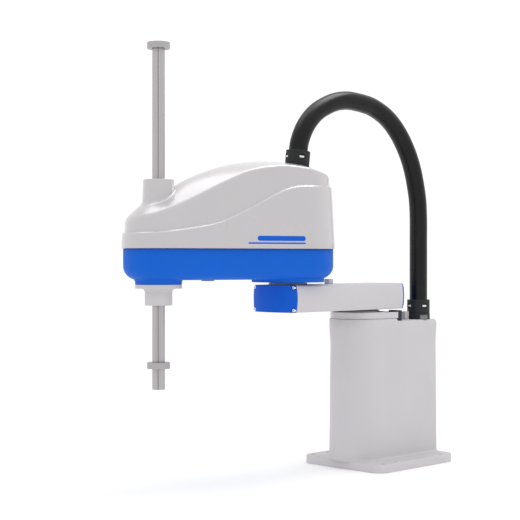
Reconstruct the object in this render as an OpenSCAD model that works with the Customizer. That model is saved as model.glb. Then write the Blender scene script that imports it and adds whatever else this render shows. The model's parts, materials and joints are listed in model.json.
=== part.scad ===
// SCARA robot arm: four axes, bolted down by its base plate.
// Millimetres. Origin: centre of the base bolt pattern, on the mounting face.
// +X points forward, from the column to the arm, +Y to the robot's left, +Z up.

/* [Base] */
// Length of the base plate, front to back
plate_len = 264; // [240:1:300]
// Width of the base plate
plate_w = 230; // [225:1:260]
// Thickness of the base plate
plate_t = 18; // [14:1:24]
// Corner radius of the base plate
plate_corner_r = 28; // [10:1:30]
// Distance between base bolts, both ways
bolt_pitch = 200; // [190:1:204]
// Diameter of a base bolt hole
bolt_hole_d = 11; // [9:0.5:13]
// Height of the joint between the column and its top cap
column_h = 324; // [300:1:340]
// Half width of the column at the top
column_half_w = 63; // [62:1:66]

/* [First arm] */
// Length of the first arm, axis to axis
arm1_len = 225; // [215:1:250]
// Width of the first arm's beam
beam_w = 118; // [112:1:124]
// Height of the first arm's beam
beam_h = 56; // [54:1:60]
// Bulge of each side of the beam
beam_bulge = 3; // [1:0.5:4]

/* [Second arm] */
// Length of the second arm, axis to axis
arm2_len = 300; // [290:1:320]
// Angle of the second arm from straight, as stored
arm2_yaw = -14; // [-30:1:30]
// Radius of the cover's rim round the nose
nose_r = 73; // [68:1:78]
// Radius of the cover's rim round the rear
rear_r = 98; // [92:1:102]

/* [Shaft] */
// Diameter of the ball screw spline shaft
shaft_d = 25; // [25:1:25]
// Bore through the shaft
shaft_bore_d = 16; // [10:1:18]
// Length of the shaft
shaft_len = 681; // [600:1:700]
// Height of the shaft's lower end
shaft_low_z = 198; // [190:1:220]

/* [Hose] */
// Outer diameter of the cable hose
hose_d = 40; // [32:1:41]

/* [Colours] */
// Housing and casting grey white
shell_colour = "gainsboro"; // [gainsboro, white]
// Accent blue
accent_colour = "royalblue"; // [royalblue, navy]

/* [Hidden] */
$fn = 96;

// places of the axes
j1_x = 62;
j2_x = j1_x + arm1_len;
plate_x = -8;

// heights
shelf_z = column_h - 6;
cap_t = 14.5;
zero_mark_angle = 117;
cap_z = column_h + cap_t;
beam_z = cap_z + 6;
beam_top_z = beam_z + beam_h;
casting_z = beam_top_z + 12;
seam_z = casting_z + 62;
boss_z = casting_z - 6.5;
shaft_top_z = shaft_low_z + shaft_len;

// walls and clearances
wall = 8;
slip = 0.05;
gap = 0.4;

// base column
column_back_x = -139;
column_front_r = column_half_w;
deck_z = 296;
ring1_r = 46;
draft = 0.75;
foot_r = 6;
rear_wall = 8;
rear_opening_w = 84;
panel_w = 100;
panel_t = 3;
panel_z0 = 26;
panel_h = 256;
panel_screw_y = panel_w / 2 - 4;
panel_screw_zs = [panel_z0 + 7, panel_z0 + panel_h - 7];
socket_y = -24;
power_z = 190;
signal_z = 140;
air_zs = [80, 104];
dowel_x = 56;
dowel_y = 98;
dowel_r = 4;
cap_screw_angles = [20 : 40 : 260];

// reducers and motors
hub1_r = 34;
ring2_r = 35;
flange2_r = 40;
hub2_r = 27;
motor_shaft_r = 7;
big_motor_w = 80;
small_motor_w = 60;

// second arm, in its own frame with x = 0 at the second axis
casting_inset = 3.6;
casting_corner_r = 31;
floor_t = 12;
boss_r = 75.5;
front_boss_r = 46;
flange_screw_r = 41;
flange_screw_angles = [45 : 90 : 315];
cover_t = 3;
skirt_step = 4.5;
cover_draft = 3;
dome_power = 1.7;
// heights of the cover's middle line, of its skirt's edge and of its shoulder: [x, z]
ridge_points = [[0, 652], [50, 655], [100, 652], [150, 643], [200, 628], [250, 606], [300, 574]];
skirt_points = [
  [-98, 604], [25, 602], [62, 593], [106, 572], [148, 551],
  [205, 527], [264, 515.3], [330, 507], [373, 505.5]
];
shoulder_points = [
  [-98, 623], [-45, 629], [10, 638], [63, 641], [133, 630], [184, 609], [263, 571], [317, 549], [373, 535]
];
plate_seat_z = seam_z;
motor_plate_t = 6;
z_motor_x = 190;
roll_motor_x = 105;
nut_r = 24;
nut_pulley_r = 32;
motor_pulley_r = 16;
belt_t = 2;
belt_h = 11;
z_belt_z = seam_z - 27;
roll_belt_z = seam_z - 45;
neck_z = 363;
neck_r = 27;
collar_cover_z = 610;
coupling_x = -22.5;
coupling_r = 25.5;
hose_lean = 6;

// foot of the hose on the column's shelf
hose_x = -107;
hose_y = 34;
// hose route: x, y, z of the ring centres, from the base to the second arm
hose_lower_route = [
  [hose_x, hose_y, 326], [hose_x, hose_y, 380], [hose_x, hose_y, 440],
  [hose_x, hose_y, 500], [hose_x, hose_y, 545],
  [-104, 34, 587], [-98, 33, 620], [-89, 33, 650], [-77, 32, 680], [-60, 31, 709],
  [-39, 29, 737], [-13, 27, 761], [16, 25, 778], [48, 22, 790], [80, 20, 795]
];
hose_upper_route = [
  [80, 20, 795], [111, 18, 797], [137, 16, 795], [162, 14, 789], [186, 12, 779], [209, 10, 766],
  [229, 9, 749], [245, 8, 729], [256, 7, 707], [261, 6.5, 690], [264, 5.8, 662]
];
hose_sides = 12;

// ---------- general shapes ----------

// points of an arc round a centre
function arc(cx, cy, r, a0, a1, n) =
  [for (i = [0 : n]) [cx + r * cos(a0 + (a1 - a0) * i / n), cy + r * sin(a0 + (a1 - a0) * i / n)]];

// closed skin through rings of equal point count, with flat end caps
module skin(rings) {
  n = len(rings[0]);
  m = len(rings);
  points = [for (ring = rings) for (p = ring) p];
  sides = [for (j = [0 : m - 2]) for (i = [0 : n - 1])
    [j * n + i, j * n + (i + 1) % n, (j + 1) * n + (i + 1) % n, (j + 1) * n + i]];
  low = [[for (i = [n - 1 : -1 : 0]) i]];
  high = [[for (i = [0 : n - 1]) (m - 1) * n + i]];
  outward = [for (f = concat(sides, low, high)) [for (k = [len(f) - 1 : -1 : 0]) f[k]]];
  polyhedron(points = points, faces = outward);
}

module tube(r_out, r_in, z0, z1) {
  translate([0, 0, z0]) difference() {
    cylinder(h = z1 - z0, r = r_out);
    translate([0, 0, -1]) cylinder(h = z1 - z0 + 2, r = r_in);
  }
}

module disc(r, z0, z1) {
  translate([0, 0, z0]) cylinder(h = z1 - z0, r = r);
}

// socket head screw, head up, seat at z = 0
module cap_screw(d, len) {
  difference() {
    union() {
      cylinder(h = d, r = 0.85 * d, $fn = 32);
      translate([0, 0, -len]) cylinder(h = len, r = d / 2, $fn = 24);
    }
    translate([0, 0, d / 2]) cylinder(h = d, r = 0.45 * d, $fn = 6);
  }
}

// rounded rectangle, centred
module round_rect(x, y, r) {
  square([x - 2 * r, y], center = true);
  square([x, y - 2 * r], center = true);
  for (i = [-1, 1], j = [-1, 1]) {
    translate([i * (x / 2 - r), j * (y / 2 - r)]) circle(r = r);
  }
}

// servo motor, flange at z = 0, body going up, shaft hole in the flange
module servo(w, h, shaft_hole_r) {
  difference() {
    union() {
      linear_extrude(height = 8) round_rect(w, w, 4);
      linear_extrude(height = h) round_rect(w - 6, w - 6, 10);
      translate([0, w / 2 - 12, h - 26]) linear_extrude(height = 16) square([24, 30], center = true);
    }
    translate([0, 0, -1]) cylinder(h = 20, r = shaft_hole_r);
    for (i = [-1, 1], j = [-1, 1]) {
      translate([i * (w / 2 - 6), j * (w / 2 - 6), -1]) cylinder(h = 10, r = 2.6, $fn = 24);
    }
  }
}

// ---------- base ----------

foot_half_w = column_half_w + column_h * tan(draft) / 2;

// column body: a slightly conical front and flat drafted sides
module column_body() {
  translate([j1_x, 0, 0]) cylinder(h = column_h, r1 = foot_half_w, r2 = column_half_w);
  translate([column_back_x, 0, 0]) rotate([90, 0, 90]) linear_extrude(height = j1_x - column_back_x)
    polygon([[-foot_half_w, 0], [foot_half_w, 0], [column_half_w, column_h], [-column_half_w, column_h]]);
}

// section of the concave fillet between the column's foot and the plate
module foot_section() {
  difference() {
    square([foot_r, foot_r]);
    translate([foot_r, foot_r]) circle(r = foot_r);
  }
}

module foot_fillet() {
  r = foot_half_w - 0.3;
  translate([j1_x, 0, plate_t]) rotate_extrude() {
    translate([r, 0]) foot_section();
    translate([r - 2, 0]) square([2.2, foot_r]);
  }
  for (j = [0, 1]) {
    translate([column_back_x, 0, plate_t]) mirror([0, j, 0]) rotate([90, 0, 90])
      linear_extrude(height = j1_x - column_back_x) union() {
        translate([r, 0]) foot_section();
        translate([r - 2, 0]) square([2.2, foot_r]);
      }
  }
}

// room inside the column, from the floor up to the deck
module column_core() {
  inner_w = 2 * (column_half_w - wall);
  translate([column_back_x + rear_wall, -inner_w / 2, -1])
    cube([j1_x - column_back_x - rear_wall, inner_w, deck_z + 1 - wall]);
  translate([j1_x, 0, -1]) cylinder(h = deck_z + 1 - wall, r = inner_w / 2);
}

module base_casting() {
  color(shell_colour) difference() {
    union() {
      difference() {
        column_body();
        // lower shelf behind the cap
        translate([column_back_x - 1, -200, shelf_z]) cube([-column_back_x + 1, 400, 60]);
      }
      foot_fillet();
      translate([plate_x, 0, 0]) linear_extrude(height = plate_t)
        round_rect(plate_len, plate_w, plate_corner_r);
    }
    column_core();
    translate([j1_x, 0, deck_z - 20]) cylinder(h = 60, r = ring1_r + slip);
    // opening behind the rear panel, and its threaded holes
    translate([column_back_x - 1, -rear_opening_w / 2, panel_z0 + 14])
      cube([rear_wall + 2, rear_opening_w, panel_h - 28]);
    for (z = panel_screw_zs, j = [-1, 1]) {
      translate([column_back_x - 1, j * panel_screw_y, z]) rotate([0, 90, 0])
        cylinder(h = 20, r = 2.2, $fn = 32);
    }
    // base bolts and dowels
    for (i = [-1, 1], j = [-1, 1]) {
      translate([i * bolt_pitch / 2, j * bolt_pitch / 2, -1])
        cylinder(h = plate_t + 2, r = bolt_hole_d / 2);
    }
    for (j = [-1, 1]) {
      translate([dowel_x, j * dowel_y, -1]) cylinder(h = plate_t + 2, r = dowel_r);
    }
    // hose passage through the shelf
    translate([hose_x, hose_y, deck_z - 20]) cylinder(h = 60, r = 15);
    // relief under the left edge, for shims
    translate([-12, plate_w / 2 - 4, -1]) cube([90, 10, 2.2]);
  }
}

module column_cap() {
  outline = concat(
    arc(j1_x, 0, column_front_r - 1.4, -90, 90, 48),
    [[2, column_front_r - 1.4]],
    arc(2, column_front_r - 7.4, 6, 90, 180, 6),
    arc(2, -column_front_r + 7.4, 6, 180, 270, 6)
  );
  color(shell_colour) difference() {
    union() {
      translate([0, 0, column_h]) linear_extrude(height = cap_t - 1) polygon(outline);
      translate([j1_x, 0, column_h]) cylinder(h = cap_t, r = column_front_r - 3);
      // stop housing at the front right
      translate([j1_x, 0, column_h]) rotate(-66) linear_extrude(height = cap_t + 4)
        polygon(concat(arc(0, 0, column_front_r - 1.4, 0, 44, 12), arc(0, 0, 53, 44, 0, 12)));
    }
    translate([j1_x, 0, column_h - 1]) cylinder(h = cap_t + 2, r = ring1_r + slip);
    for (a = cap_screw_angles) {
      translate([j1_x, 0, cap_z - 5]) rotate(a) translate([53, 0, 0]) cylinder(h = 40, r = 3.6, $fn = 32);
      translate([j1_x, 0, column_h - 1]) rotate(a) translate([53, 0, 0])
        cylinder(h = 40, r = 2.2, $fn = 32);
    }
    // zero mark of the first axis
    translate([j1_x, 0, cap_z - 6]) rotate(zero_mark_angle)
      translate([column_front_r - 6.5, -0.8, 0]) cube([8, 1.6, 8]);
  }
}

module cap_screws() {
  color("silver") for (a = cap_screw_angles) {
    translate([j1_x, 0, cap_z - 5]) rotate(a) translate([53, 0, 0]) cap_screw(4, 7.4);
  }
}

// rubber buffer behind the cap, a little higher than the cap
module cap_buffer() {
  color("black") translate([-17, 31, shelf_z]) cube([13, 27, cap_z + 2.4 - shelf_z]);
}

// block that keeps the hose end from turning
module hose_clamp_block() {
  color(shell_colour) translate([-78, 12, shelf_z]) cube([14, 18, 18]);
}

module rear_panel() {
  color("dimgray") difference() {
    translate([column_back_x - panel_t, -panel_w / 2, panel_z0]) cube([panel_t, panel_w, panel_h]);
    for (z = panel_screw_zs, j = [-1, 1]) {
      translate([column_back_x - 6, j * panel_screw_y, z]) rotate([0, 90, 0])
        cylinder(h = 8, r = 2.2, $fn = 32);
    }
    translate([column_back_x - 6, socket_y, power_z]) rotate([0, 90, 0]) cylinder(h = 8, r = 15 + slip);
    translate([column_back_x - 6, socket_y, signal_z]) rotate([0, 90, 0]) cylinder(h = 8, r = 12 + slip);
    for (z = air_zs) {
      translate([column_back_x - 6, socket_y, z]) rotate([0, 90, 0]) cylinder(h = 8, r = 5 + slip);
    }
  }
}

module rear_panel_screws() {
  color("silver") for (z = panel_screw_zs, j = [-1, 1]) {
    translate([column_back_x - panel_t, j * panel_screw_y, z]) rotate([0, -90, 0]) cap_screw(4, 9);
  }
}

// round plug socket through the rear panel, facing back
module round_socket(r, z) {
  translate([column_back_x + 5, socket_y, z]) rotate([0, -90, 0]) difference() {
    union() {
      cylinder(h = 26, r = r);
      translate([0, 0, 5 + panel_t]) cylinder(h = 4, r = r + 4);
    }
    translate([0, 0, 14]) cylinder(h = 20, r = r - 3);
  }
}

module power_connector() {
  color("darkslategray") round_socket(15, power_z);
}

module signal_connector() {
  color("darkslategray") round_socket(12, signal_z);
}

module air_fittings() {
  color("lightsteelblue") for (z = air_zs) {
    translate([column_back_x + 5, socket_y, z]) rotate([0, -90, 0]) difference() {
      union() {
        cylinder(h = 22, r = 5);
        translate([0, 0, 5 + panel_t]) cylinder(h = 6, r = 7.5, $fn = 6);
      }
      translate([0, 0, 10]) cylinder(h = 20, r = 3);
    }
  }
}

// ---------- first axis ----------

module j1_motor() {
  color("black") translate([j1_x, 0, deck_z - wall]) rotate([180, 0, 0])
    servo(big_motor_w, 150, motor_shaft_r + gap);
}

module j1_motor_shaft() {
  color("silver") translate([j1_x, 0, 0]) disc(motor_shaft_r, deck_z - 24, deck_z + 34);
}

module j1_wave_generator() {
  color("silver") translate([j1_x, 0, 0]) tube(25.4, motor_shaft_r + slip, deck_z + 16, deck_z + 30);
}

module j1_reducer_ring() {
  color("slategray") translate([j1_x, 0, 0]) tube(ring1_r, hub1_r + slip, deck_z - wall + 1, cap_z + 3);
}

module j1_output_hub() {
  color("dimgray") translate([j1_x, 0, 0]) difference() {
    union() {
      disc(hub1_r, deck_z + 14, beam_z);
      disc(ring1_r - 2, cap_z + 4.5, beam_z);
    }
    disc(26, deck_z + 13, deck_z + 36);
  }
}

// ---------- hose and its couplings ----------

// round tube along a route; its end faces look along first and last
module swept_hose(route, first, last) {
  n = len(route) - 1;
  r = hose_d / 2;
  skin([for (i = [0 : n]) let (
      d = i == 0 ? first : i == n ? last : route[i + 1] - route[i - 1],
      t = d / norm(d),
      side = [0, 1, 0] - t * (t * [0, 1, 0]),
      b = side / norm(side),
      up = cross(b, t))
    [for (k = [0 : hose_sides - 1]) let (a = 360 * k / hose_sides)
      route[i] + r * cos(a) * b + r * sin(a) * up]]);
}

module hose_lower() {
  color("black") swept_hose(hose_lower_route, [0, 0, 1], [1, 0, 0]);
}

module hose_upper() {
  color("black") swept_hose(hose_upper_route, [1, 0, 0], [3, -0.7, -28]);
}

// clamp ring round a hose end: a windowed sleeve on a flange
module hose_coupling(low_h, high_h) {
  difference() {
    union() {
      cylinder(h = low_h, r = coupling_r);
      translate([0, 0, low_h]) cylinder(h = high_h, r = coupling_r);
    }
    translate([0, 0, 8]) cylinder(h = low_h + high_h, r = hose_d / 2 + gap);
    translate([0, 0, -1]) cylinder(h = low_h, r = 14);
    for (a = [0 : 60 : 300]) {
      rotate(a + 15) translate([coupling_r, 0, low_h + high_h / 2]) cube([6, 9, 5.5], center = true);
    }
  }
}

module lower_hose_coupling() {
  color("darkslategray") translate([hose_x, hose_y, shelf_z]) hose_coupling(15, 29);
}

// clamp block beside the coupling's flange
module coupling_lock_block() {
  color("silver") translate([hose_x, hose_y, shelf_z]) rotate(62) difference() {
    translate([coupling_r + gap, -8.5, 0]) cube([5, 17, 10]);
    for (j = [-1, 1]) {
      translate([coupling_r + gap + 2.5, j * 5, 4]) cylinder(h = 10, r = 1.6, $fn = 32);
    }
  }
}

// ---------- first arm ----------

// outline of the beam, in (y, z) round its middle
function beam_outline() =
  let (
    hw = beam_w / 2,
    hh = beam_h / 2,
    r = 4,
    big = (pow(hh - r, 2) + pow(beam_bulge, 2)) / (2 * beam_bulge),
    half = asin((hh - r) / big))
  concat(
    arc(hw + beam_bulge - big, 0, big, -half, half, 12),
    arc(hw - r, hh - r, r, 30, 90, 4),
    arc(-hw + r, hh - r, r, 90, 150, 4),
    arc(-hw - beam_bulge + big, 0, big, 180 - half, 180 + half, 12),
    arc(-hw + r, -hh + r, r, 210, 270, 4),
    arc(hw - r, -hh + r, r, 270, 330, 4)
  );

beam_front_x = j2_x + 35.5;
beam_rear_x = j1_x - 79;
beam_mid_z = beam_z + beam_h / 2;

// beam section drawn from x0 to x1
module beam_bar(x0, x1) {
  translate([x0, 0, beam_mid_z]) rotate([90, 0, 90]) linear_extrude(height = x1 - x0)
    polygon(beam_outline());
}

screw_y = beam_w / 2 - 3;
screw_dz = beam_h / 2 - 5;

module beam() {
  color(shell_colour) difference() {
    beam_bar(beam_rear_x, beam_front_x);
    translate([beam_rear_x - 1, -beam_w / 2 + wall, beam_z + wall])
      cube([beam_front_x - beam_rear_x + 2, beam_w - 2 * wall, beam_h - 2 * wall]);
    translate([j1_x, 0, beam_z - 1]) cylinder(h = wall + 2, r = 22);
    translate([j2_x, 0, beam_top_z - wall - 1]) cylinder(h = wall + 2, r = ring2_r + slip);
    for (x = [beam_front_x, beam_rear_x], i = [-1, 1], j = [-1, 1]) {
      translate([x - 12, i * screw_y, beam_mid_z + j * screw_dz]) rotate([0, 90, 0])
        cylinder(h = 24, r = 2 + slip, $fn = 32);
    }
  }
}

// domed end cover; its face is a large upright cylinder
module beam_cover(x, dir) {
  edge = 5;
  dome_r = 140;
  half = beam_w / 2;
  sag = dome_r - sqrt(dome_r * dome_r - half * half);
  translate([x, 0, 0]) rotate(dir > 0 ? 0 : 180) difference() {
    intersection() {
      translate([-beam_front_x, 0, 0]) beam_bar(beam_front_x, beam_front_x + 40);
      translate([edge + sag - dome_r, 0, beam_z - 10]) cylinder(h = beam_h + 20, r = dome_r, $fn = 240);
    }
    for (i = [-1, 1], j = [-1, 1]) {
      translate([-1, i * screw_y, beam_mid_z + j * screw_dz]) rotate([0, 90, 0])
        cylinder(h = 40, r = 2.2, $fn = 32);
      translate([2.5, i * screw_y, beam_mid_z + j * screw_dz]) rotate([0, 90, 0])
        cylinder(h = 40, r = 5, $fn = 32);
    }
  }
}

module beam_front_cover() {
  color(accent_colour) beam_cover(beam_front_x, 1);
}

module beam_rear_cover() {
  color(accent_colour) beam_cover(beam_rear_x, -1);
}

module beam_cover_screws() {
  color("silver") for (dir = [1, -1], i = [-1, 1], j = [-1, 1]) {
    translate([dir > 0 ? beam_front_x + 2.5 : beam_rear_x - 2.5, i * screw_y, beam_mid_z + j * screw_dz])
      rotate([0, 90 * dir, 0]) cap_screw(4, 10);
  }
}

module j2_stop_block() {
  color(shell_colour) translate([153, -7, beam_top_z]) cube([14, 14, 11]);
}

// ---------- second axis ----------

module j2_reducer_ring() {
  color("slategray") translate([j2_x, 0, 0]) difference() {
    union() {
      disc(ring2_r, beam_z + wall + 6, beam_top_z + 4);
      disc(flange2_r, beam_top_z + 0.3, beam_top_z + 4);
    }
    disc(hub2_r + slip, beam_z, beam_top_z + 5);
  }
}

// everything from here to the shaft is drawn in the second arm's frame
module on_arm2() {
  translate([j2_x, 0, 0]) rotate(arm2_yaw) children();
}

module j2_output_hub() {
  color("dimgray") on_arm2() difference() {
    union() {
      disc(hub2_r, beam_z + wall + 20, casting_z);
      disc(ring2_r - 2, beam_top_z + 5, casting_z + floor_t - 1);
    }
    disc(24, beam_z, beam_z + 46);
    disc(motor_shaft_r + 1, beam_z, casting_z + 40);
  }
}

module j2_motor_shaft() {
  color("silver") on_arm2() disc(motor_shaft_r, beam_z + 26, casting_z + floor_t + 14);
}

module j2_wave_generator() {
  color("silver") on_arm2() tube(23.4, motor_shaft_r + slip, beam_z + 29, beam_z + 43);
}

module j2_motor() {
  color("black") on_arm2() translate([0, 0, casting_z + floor_t])
    servo(big_motor_w, 120, motor_shaft_r + gap);
}

// ---------- second arm: plan outline and its ribs ----------

nose_n = 20;
side_n = 12;
rear_n = 20;

// angle of the outward normal where the round ends meet the sides
function side_angle(rn, rr) = acos((rr - rn) / arm2_len);

// ribs run from the outline to the middle line: [outline point, middle point]
function ribs(rn, rr) =
  let (t = side_angle(rn, rr))
  concat(
    [for (p = arc(arm2_len, 0, rn, -t, t, nose_n)) [p, [arm2_len, 0]]],
    [for (k = [1 : side_n - 1]) let (f = k / side_n)
      [[arm2_len * (1 - f) + ((1 - f) * rn + f * rr) * cos(t), ((1 - f) * rn + f * rr) * sin(t)],
        [arm2_len * (1 - f), 0]]],
    [for (p = arc(0, 0, rr, t, 360 - t, rear_n)) [p, [0, 0]]],
    [for (k = [side_n - 1 : -1 : 1]) let (f = k / side_n)
      [[arm2_len * (1 - f) + ((1 - f) * rn + f * rr) * cos(t), -((1 - f) * rn + f * rr) * sin(t)],
        [arm2_len * (1 - f), 0]]]
  );

// outline of the casting at one height: two arcs joined by straight sides
function outline_ring(rn, rr, z) =
  let (t = side_angle(rn, rr))
  [for (p = concat(arc(arm2_len, 0, rn, -t, t, 24), arc(0, 0, rr, t, 360 - t, 24))) [p[0], p[1], z]];

// ---------- second arm: casting ----------

// tray shape with a round lower edge
module tray(inset, z0, z1, r) {
  rounding = [for (k = [0 : 7]) let (a = 90 * k / 7) [r * (1 - sin(a)), z0 + r * (1 - cos(a))]];
  skin([for (level = concat(rounding, [[0, z1]]))
    outline_ring(nose_r - inset - level[0], rear_r - inset - level[0], level[1])]);
}

module arm_casting() {
  color(accent_colour) on_arm2() difference() {
    union() {
      difference() {
        tray(casting_inset, casting_z, seam_z, casting_corner_r);
        tray(casting_inset + 6, casting_z + floor_t, seam_z + 20, casting_corner_r - 6);
      }
      disc(boss_r, boss_z, casting_z + 4);
      // front boss with a conical root
      translate([arm2_len, 0, neck_z + 41]) cylinder(h = 9, r = front_boss_r);
      translate([arm2_len, 0, neck_z + 45]) cylinder(h = 9, r1 = front_boss_r, r2 = front_boss_r + 6);
      // pads under the casting
      translate([arm2_len + 38, -7, casting_z + 1]) cube([13, 14, 12]);
      translate([190, 0, casting_z - 2.5]) cylinder(h = 6, r = 13);
      // posts that carry the motor plate
      for (x = [60, 250], j = [-1, 1]) {
        translate([x, j * 54, casting_z + 6]) cylinder(h = plate_seat_z - casting_z - 6, r = 7);
      }
    }
    translate([0, 0, boss_z - 1]) cylinder(h = 60, r = ring2_r - 2 + slip);
    translate([arm2_len, 0, neck_z]) cylinder(h = 80, r = 36 + slip);
    for (a = flange_screw_angles) {
      translate([arm2_len, 0, neck_z + 40]) rotate(a) translate([flange_screw_r, 0, 0])
        cylinder(h = 9, r = 2.2, $fn = 32);
    }
  }
}

// ---------- second arm: cover ----------

// slope of a curve through points at one of them
function slope_at(p, k) =
  let (a = max(0, k - 1), b = min(len(p) - 1, k + 1)) (p[b][1] - p[a][1]) / (p[b][0] - p[a][0]);

// height at x of the smooth curve through points [x, z]
function curve_z(p, x) =
  x <= p[0][0] ? p[0][1]
  : x >= p[len(p) - 1][0] ? p[len(p) - 1][1]
  : let (
      i = max([for (k = [0 : len(p) - 2]) if (p[k][0] <= x) k]),
      h = p[i + 1][0] - p[i][0],
      t = (x - p[i][0]) / h)
    (2 * t * t * t - 3 * t * t + 1) * p[i][1] + (t * t * t - 2 * t * t + t) * h * slope_at(p, i)
    + (3 * t * t - 2 * t * t * t) * p[i + 1][1] + (t * t * t - t * t) * h * slope_at(p, i + 1);

// smooth step from 0 to 1
function ease(t) = let (u = min(1, max(0, t))) u * u * (3 - 2 * u);

// height of the skirt's upper edge, an S along the side
function skirt_z(x) = curve_z(skirt_points, x);

// radius of the bend between the wall and the crown
function bend_r(x) = 8 + 8 * ease((x - 120) / 150) + 12 * ease((x - arm2_len) / nose_r);

// one rib of the cover, t inside its outer face: points from the rim over the shoulder to the ridge
function cover_rib(rib, t) =
  let (
    p = rib[0],
    c = rib[1],
    w = norm(p - c),
    slope = tan(cover_draft),
    step_z = skirt_z(p[0]),
    step = t > 0 ? 0 : skirt_step,
    in0 = t > 0 ? t + skirt_step : 0,
    bend = bend_r(p[0]) - t,
    turn = curve_z(shoulder_points, p[0]) - 0.6 * bend_r(p[0]),
    top = curve_z(ridge_points, c[0]) - t,
    crown_w = w - in0 - step - (turn - seam_z) * slope,
    // the bend stops where the dome is as steep
    end = 90 - atan(dome_power * (top - turn - bend) / (crown_w - bend / 2)),
    dome_r = crown_w - bend + bend * cos(end),
    dome_z = turn + bend * sin(end),
    wall_pts = [
      [w - in0, seam_z],
      [w - in0 - (step_z - 3 - seam_z) * slope, step_z - 3],
      [w - in0 - (step_z - seam_z) * slope - 0.2 * step, step_z - 0.8],
      [w - in0 - (step_z - seam_z) * slope - 0.45 * step, step_z],
      [w - in0 - (step_z - seam_z) * slope - step, step_z + 0.6],
      [w - in0 - (step_z + 2 - seam_z) * slope - step, step_z + 2]
    ],
    bend_pts = [
      for (k = [0 : 3]) let (a = end * k / 4) [crown_w - bend + bend * cos(a), turn + bend * sin(a)]
    ],
    dome_pts = [
      for (k = [0 : 5]) let (f = 1 - k / 5.3) [dome_r * f, top - (top - dome_z) * pow(f, dome_power)]
    ])
  [
    for (q = concat(wall_pts, bend_pts, dome_pts))
      [c[0] + (p[0] - c[0]) * q[0] / w, (p[1] - c[1]) * q[0] / w, q[1]]
  ];

// closed thin shell between an outer and an inner set of ribs
module rib_shell(outer, inner) {
  n = len(outer);
  m = len(outer[0]);
  points = concat([for (r = outer) for (p = r) p], [for (r = inner) for (p = r) p]);
  o = n * m;
  walls = [for (i = [0 : n - 1]) for (j = [0 : m - 2]) let (k = (i + 1) % n) each [
    [i * m + j, k * m + j, k * m + j + 1, i * m + j + 1],
    [o + i * m + j, o + i * m + j + 1, o + k * m + j + 1, o + k * m + j]
  ]];
  rim = [for (i = [0 : n - 1]) let (k = (i + 1) % n) [i * m, o + i * m, o + k * m, k * m]];
  // the ridge strip joins each rib to its mirror image
  half = nose_n / 2;
  pairs = [for (s = [0 : n / 2 - 1]) let (
      a = (half + s) % n, b = (half + s + 1) % n,
      c = (half - s - 1 + n) % n, d = (half - s + n) % n) [a, b, c, d]];
  strip = [for (q = pairs) each [
    [for (v = q) v * m + m - 1],
    [for (v = [q[3], q[2], q[1], q[0]]) o + v * m + m - 1]
  ]];
  outward = [for (f = concat(walls, rim, strip)) [for (k = [3 : -1 : 0]) f[k]]];
  polyhedron(points = points, faces = outward);
}

module arm_cover() {
  skeleton = ribs(nose_r, rear_r);
  color(shell_colour) on_arm2() difference() {
    rib_shell([for (r = skeleton) cover_rib(r, 0)], [for (r = skeleton) cover_rib(r, cover_t)]);
    translate([arm2_len, 0, 520]) cylinder(h = 120, r = 33 + gap);
    translate([coupling_x, 0, 600]) cylinder(h = 100, r = coupling_r + 0.8);
    // controls in the right side wall
    on_side(button_x, control_z) translate([0, 0, -15]) cylinder(h = 30, r = 11 + slip);
    on_side(lamp_x, control_z) translate([0, 0, -15]) cylinder(h = 30, r = 5 + slip);
    on_side(socket_x, socket_z) cube([34.2, 40.2, 30], center = true);
  }
}

module cover_screws() {
  color("silver") on_arm2() for (x = [60, 250], j = [-1, 1]) {
    translate([x, j * 54, plate_seat_z + motor_plate_t]) cap_screw(4, 5.9);
  }
}

module shaft_collar_cover() {
  color(shell_colour) on_arm2() translate([arm2_len, 0, 0]) difference() {
    translate([0, 0, 545]) cylinder(h = collar_cover_z - 545, r1 = 32.8, r2 = 30.4);
    translate([0, 0, 540]) cylinder(h = collar_cover_z - 540 - 12, r = 26);
    translate([0, 0, 540]) cylinder(h = 100, r = 15);
  }
}

module lower_bearing_cover() {
  color(shell_colour) on_arm2() translate([arm2_len, 0, 0]) difference() {
    union() {
      disc(front_boss_r, neck_z + 33, neck_z + 41);
      disc(neck_r, neck_z, neck_z + 40);
      // round root between neck and flange
      translate([0, 0, neck_z + 25]) rotate_extrude() difference() {
        translate([neck_r - 1, 0]) square([9, 8.5]);
        translate([neck_r + 8, 0]) circle(r = 8, $fn = 64);
      }
    }
    disc(nut_r + gap, neck_z + 6, neck_z + 60);
    disc(14.5, neck_z - 1, neck_z + 10);
    for (a = flange_screw_angles) {
      rotate(a) translate([flange_screw_r, 0, neck_z + 30]) cylinder(h = 20, r = 2.2, $fn = 32);
      rotate(a) translate([flange_screw_r, 0, neck_z + 30]) cylinder(h = 7.2, r = 3.7, $fn = 32);
    }
  }
}

module bearing_cover_screws() {
  color("silver") on_arm2() translate([arm2_len, 0, 0]) for (a = flange_screw_angles) {
    rotate(a) translate([flange_screw_r, 0, neck_z + 37.2]) rotate([180, 0, 0]) cap_screw(4, 10);
  }
}

// ---------- second arm: drives ----------

module motor_plate() {
  color("silver") on_arm2() translate([0, 0, plate_seat_z]) difference() {
    translate([50, -62, 0]) cube([212, 124, motor_plate_t]);
    for (x = [z_motor_x, roll_motor_x]) {
      translate([x, 0, -1]) cylinder(h = motor_plate_t + 2, r = 18);
    }
    translate([arm2_len, 0, -1]) cylinder(h = motor_plate_t + 2, r = 41);
    for (x = [60, 250], j = [-1, 1]) {
      translate([x, j * 54, -1]) cylinder(h = motor_plate_t + 2, r = 2.2, $fn = 32);
    }
  }
}

module z_motor() {
  color("black") on_arm2() translate([z_motor_x, 0, plate_seat_z + motor_plate_t])
    servo(small_motor_w, 85, motor_shaft_r - 1 + gap);
}

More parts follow.
